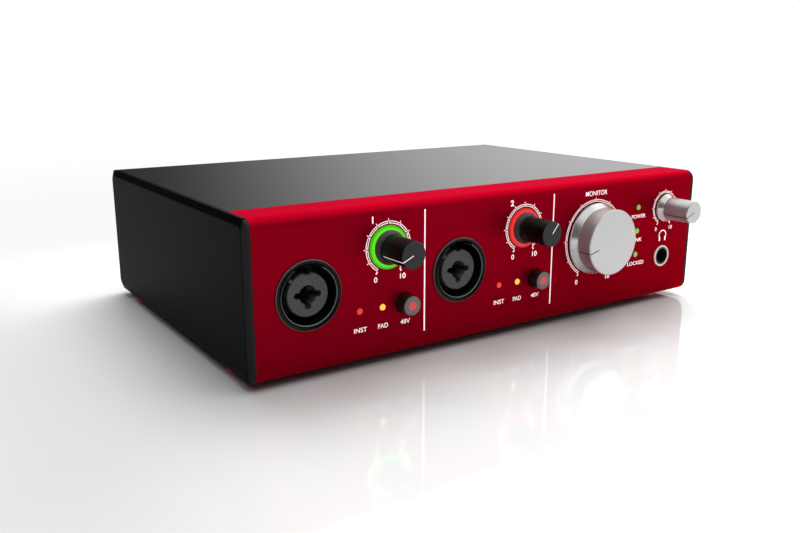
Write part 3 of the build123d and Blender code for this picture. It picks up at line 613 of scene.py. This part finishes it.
def print_dividers():
    """Upright lines between the channels and the monitor section."""
    fascia_low, fascia_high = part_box("front_fascia")
    foot, head = fascia_low.z + 6.8 * MM, fascia_high.z - 3.1 * MM
    half = 0.26 * MM
    first = (centre("phantom_1_button").x + centre("input_2_bezel").x) / 2 - 3.6 * MM
    pitch = centre("input_2_bezel").x - centre("input_1_bezel").x
    for number, x in enumerate((first, first + pitch), start=1):
        print_on_front(f"divider_{number}", [bar_plate(x - half, x + half, foot, head)])


def headphone_icon(x, z):
    """A band over two ear pads."""
    band_end = 100
    half_pad = 0.42 * MM
    outlines = [arc_plate(x, z, 2.0 * MM, 2.45 * MM, -band_end, band_end)]
    for side in (-1, 1):
        pad_x = x + side * 1.75 * MM
        outlines.append(bar_plate(pad_x - half_pad, pad_x + half_pad, z - 2.3 * MM, z - 0.35 * MM))
    print_on_front("headphone_icon", outlines)


def print_outputs():
    """Marks of the monitor, status and headphone section."""
    monitor = centre("monitor_knob")
    dial("monitor_dial", "monitor_knob", 14.75 * MM, 15.7 * MM, 16.4 * MM)
    word("monitor_word", "MONITOR", monitor.x + 0.2 * MM, monitor.z + 18.2 * MM, 1.9 * MM, 12.0 * MM)
    dial_ends("monitor", monitor.x - 8.6 * MM, monitor.x + 9.2 * MM, monitor.z - 17.0 * MM)
    phones = centre("phones_knob")
    small = 1.6 * MM
    dial("phones_dial", "phones_knob", 6.35 * MM, 7.2 * MM, 7.9 * MM)
    word("phones_zero", "0", phones.x - 4.6 * MM, phones.z - 8.9 * MM, small, 1.15 * MM)
    word("phones_ten", "10", phones.x + 4.8 * MM, phones.z - 8.9 * MM, small, 2.0 * MM)
    headphone_icon(phones.x, phones.z - 12.1 * MM)
    status = centre("status_lights")
    low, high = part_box("status_lights")
    one_light = 3.2 * MM                # its diameter
    pitch = (high.z - low.z - one_light) / 2
    drop = 3.75 * MM
    for step, text, width in ((1, "POWER", 8.4), (0, "LINK", 5.6), (-1, "LOCKED", 10.0)):
        z = status.z + step * pitch - drop
        word(f"status_{text.lower()}", text, status.x + 0.4 * MM, z, small, width * MM)


def print_rear():
    """Plain numbers and words beside the rear connectors."""
    jacks_low, jacks_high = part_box("line_output_nuts")
    count = 4
    nut = 13.86 * MM                    # across its corners
    pitch = (jacks_high.x - jacks_low.x - nut) / (count - 1)
    z = jacks_high.z + 5 * MM
    for number in range(count):
        x = jacks_high.x - nut / 2 - number * pitch
        word(f"line_{number + 1}", str(number + 1), x, z, 2.2 * MM, back=True)
    labels = (
        ("line_word", "LINE OUT", (jacks_low.x + jacks_high.x) / 2, 14 * MM),
        ("power_word", "POWER", centre("power_inlet").x, 9 * MM),
        ("optical_word", "OPTICAL", centre("optical_socket").x, 10 * MM),
    )
    for name, text, x, width in labels:
        word(name, text, x, z + 4.2 * MM, 1.8 * MM, width, back=True)


# ---------------------------------------------------------------- pointers on the knobs
def pointer(body, degrees, profile, width, ink):
    """A narrow inlaid line that runs up a knob's side and over its face.

    profile holds (radius, height above the fascia) points, from the skirt to the tip.
    """
    name = f"{body}_pointer"
    spot = centre(f"{body}_knob")
    depth = 0.15 * MM
    lift = 0.02 * MM
    mesh = bpy.data.meshes.new(name)
    build = bmesh.new()
    last = len(profile) - 1
    rows = []
    for i, (radius, height) in enumerate(profile):
        before, after = profile[max(0, i - 1)], profile[min(last, i + 1)]
        along = Vector((after[0] - before[0], after[1] - before[1])).normalized()
        outward = Vector((along.y, -along.x))
        if i == last:
            outward = Vector((0, 1))
        here = Vector((radius, height))
        rows.append((here + outward * lift, here - outward * depth))
    angle = math.radians(degrees)
    radial = Vector((math.sin(angle), 0, math.cos(angle)))
    across = Vector((math.cos(angle), 0, -math.sin(angle))) * width / 2
    base = Vector((spot.x, FRONT_Y, spot.z))
    loops = []
    for pair in rows:
        corners = []
        for point in pair:
            place = base + radial * point.x + Vector((0, -point.y, 0))
            corners += [build.verts.new(place - across), build.verts.new(place + across)]
        loops.append([corners[0], corners[1], corners[3], corners[2]])
    for near, far in zip(loops, loops[1:]):
        for i in range(4):
            j = (i + 1) % 4
            build.faces.new((near[i], near[j], far[j], far[i]))
    build.faces.new(loops[0][::-1])
    build.faces.new(loops[-1])
    bmesh.ops.recalc_face_normals(build, faces=build.faces)
    build.to_mesh(mesh)
    build.free()
    piece(name, mesh, ink, body)


def knob_height(node):
    return FRONT_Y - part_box(node)[0].y


def pointers():
    """One on each knob, at the angle from the top where its joint stands at zero."""
    tall = knob_height("gain_1_knob")
    side, face, edge = 4.75 * MM, 4.65 * MM, 0.3 * MM
    tall_profile = [(side, 3.5 * MM), (face, tall - edge), (face - edge, tall), (0.2 * MM, tall)]
    low = knob_height("monitor_knob")
    side, face, edge = 12.7 * MM, 12.95 * MM, 0.35 * MM
    low_profile = [(side, 3.9 * MM), (face, low - edge), (face - edge, low), (face - 5.0 * MM, low)]
    for body, degrees in (("gain_1", -115), ("gain_2", 38)):
        pointer(body, degrees, tall_profile, 0.24 * MM, INK_WITH_PAINTED_GLOW)
    pointer("phones", -116, tall_profile, 0.34 * MM, DARK_INK)
    pointer("monitor", -105, low_profile, 0.4 * MM, DARK_INK)


# ---------------------------------------------------------------- stage, light and camera
def blend(tree, factor, first, second):
    """Mix two shaders.  factor is an output or a number."""
    mix = tree.nodes.new("ShaderNodeMixShader")
    feed(tree, factor, mix.inputs["Fac"])
    tree.links.new(first, mix.inputs[1])
    tree.links.new(second, mix.inputs[2])
    return mix.outputs["Shader"]


def emitter(tree, strength):
    """A plain white glow."""
    node = tree.nodes.new("ShaderNodeEmission")
    node.inputs["Strength"].default_value = strength
    return node.outputs["Emission"]


def floor():
    """A pale, slightly mirror-like floor: shaded near the object, with a painted shadow that darkens it
    to the left, evenly lit further out, then white.
    """
    half = 6.0
    mesh = bpy.data.meshes.new("floor")
    corners = [(-half, -half, 0), (half, -half, 0), (half, half, 0), (-half, half, 0)]
    mesh.from_pydata(corners, [], [(0, 1, 2, 3)])
    obj = bpy.data.objects.new("floor", mesh)
    bpy.context.scene.collection.objects.link(obj)
    mat = principled("pale floor", (0.6, 0.6, 0.6), 0.5, Specular_IOR_Level=0.0)
    tree = mat.node_tree
    place = tree.nodes.new("ShaderNodeTexCoord")
    # Painted shadow: the floor's base colour is darker to the left of the object.
    pale = smooth_ramp(tree, place_axes(tree)["X"], (-0.17, -0.11), (0.5, 0.61))
    tree.links.new(pale, shader_of(mat).inputs["Base Color"])
    folded = vector_step(tree, "ABSOLUTE", place.outputs["Object"])
    beyond = vector_step(tree, "SUBTRACT", folded, (CAD_BOX[1][0], CAD_BOX[1][1], 0))
    sideways = 0.45                     # distance to the side counts for this much
    outside = vector_step(tree, "MULTIPLY", vector_step(tree, "MAXIMUM", beyond), (sideways, 1, 1))
    distance = vector_step(tree, "LENGTH", outside)
    mirror = tree.nodes.new("ShaderNodeBsdfGlossy")
    mirror.inputs["Roughness"].default_value = 0.05
    lit = smooth_ramp(tree, distance, (0.02, 0.13), (0, 1))
    even = blend(tree, lit, shader_of(mat).outputs["BSDF"], emitter(tree, 1.35))
    mirror_share = 0.3
    shiny = blend(tree, mirror_share, even, mirror.outputs["BSDF"])
    far = smooth_ramp(tree, distance, (0.25, 0.6), (0, 1))
    surface = blend(tree, far, shiny, emitter(tree, 1.0))
    tree.links.new(surface, tree.nodes["Material Output"].inputs["Surface"])
    mesh.materials.append(mat)


def soft_light(name, place, target, size, power):
    """A rectangular soft light that faces its target and leaves no reflection of itself."""
    data = bpy.data.lights.new(name, "AREA")
    data.shape = "RECTANGLE"
    data.size, data.size_y = size
    data.energy = power
    obj = bpy.data.objects.new(name, data)
    obj.location = place
    obj.rotation_euler = (Vector(target) - Vector(place)).to_track_quat("-Z", "Y").to_euler()
    obj.visible_glossy = False
    bpy.context.scene.collection.objects.link(obj)


def background(tree, strength):
    """A plain white background.  strength is an output or a number."""
    node = tree.nodes.new("ShaderNodeBackground")
    node.inputs["Color"].default_value = (1, 1, 1, 1)
    feed(tree, strength, node.inputs["Strength"])
    return node.outputs["Background"]


def sky():
    """White to the eye; as a light it is brighter towards the back right and overhead."""
    world = bpy.data.worlds.new("studio")
    bpy.context.scene.world = world
    world.use_nodes = True
    tree = world.node_tree
    tree.nodes.clear()
    out = tree.nodes.new("ShaderNodeOutputWorld")
    place = tree.nodes.new("ShaderNodeTexCoord")
    split = tree.nodes.new("ShaderNodeSeparateXYZ")
    tree.links.new(place.outputs["Generated"], split.inputs["Vector"])
    sideways = smooth_ramp(tree, split.outputs["X"], (0.25, 0.75), (0.03, 1.25))
    forwards = smooth_ramp(tree, split.outputs["Y"], (-0.5, 0.2), (0.72, 1.0))
    overhead = smooth_ramp(tree, split.outputs["Z"], (0.5, 0.9), (0.0, 1.0))
    level = math_step(tree, "ADD", math_step(tree, "MULTIPLY", sideways, forwards), overhead)
    seen = tree.nodes.new("ShaderNodeLightPath").outputs["Is Camera Ray"]
    surface = blend(tree, seen, background(tree, level), background(tree, 1.0))
    tree.links.new(surface, out.inputs["Surface"])


def camera():
    """The view from the front left, slightly above."""
    data = bpy.data.cameras.new("camera")
    data.sensor_width = 36.0
    data.lens = 36.866
    obj = bpy.data.objects.new("camera", data)
    obj.location = Vector((-198.69, -290.72, 100.99)) * MM
    turn, dip = 0.5885, 0.2428
    obj.rotation_euler = (math.pi / 2 - dip, 0, -turn)
    bpy.context.scene.collection.objects.link(obj)
    bpy.context.scene.camera = obj


def light_the_stage():
    sky()
    floor()
    soft_light("back right", (0.35, 0.55, 0.80), (0, 0, 0), (1.2, 1.0), 30)
    soft_light("overhead", (0.15, -0.45, 1.0), (0, -0.1, 0), (1.0, 0.8), 6.5)
    bpy.context.scene.view_settings.view_transform = "Standard"


camera()
light_the_stage()
dress_nodes()
for channel in (1, 2):
    print_channel(channel)
print_dividers()
print_outputs()
print_rear()
pointers()
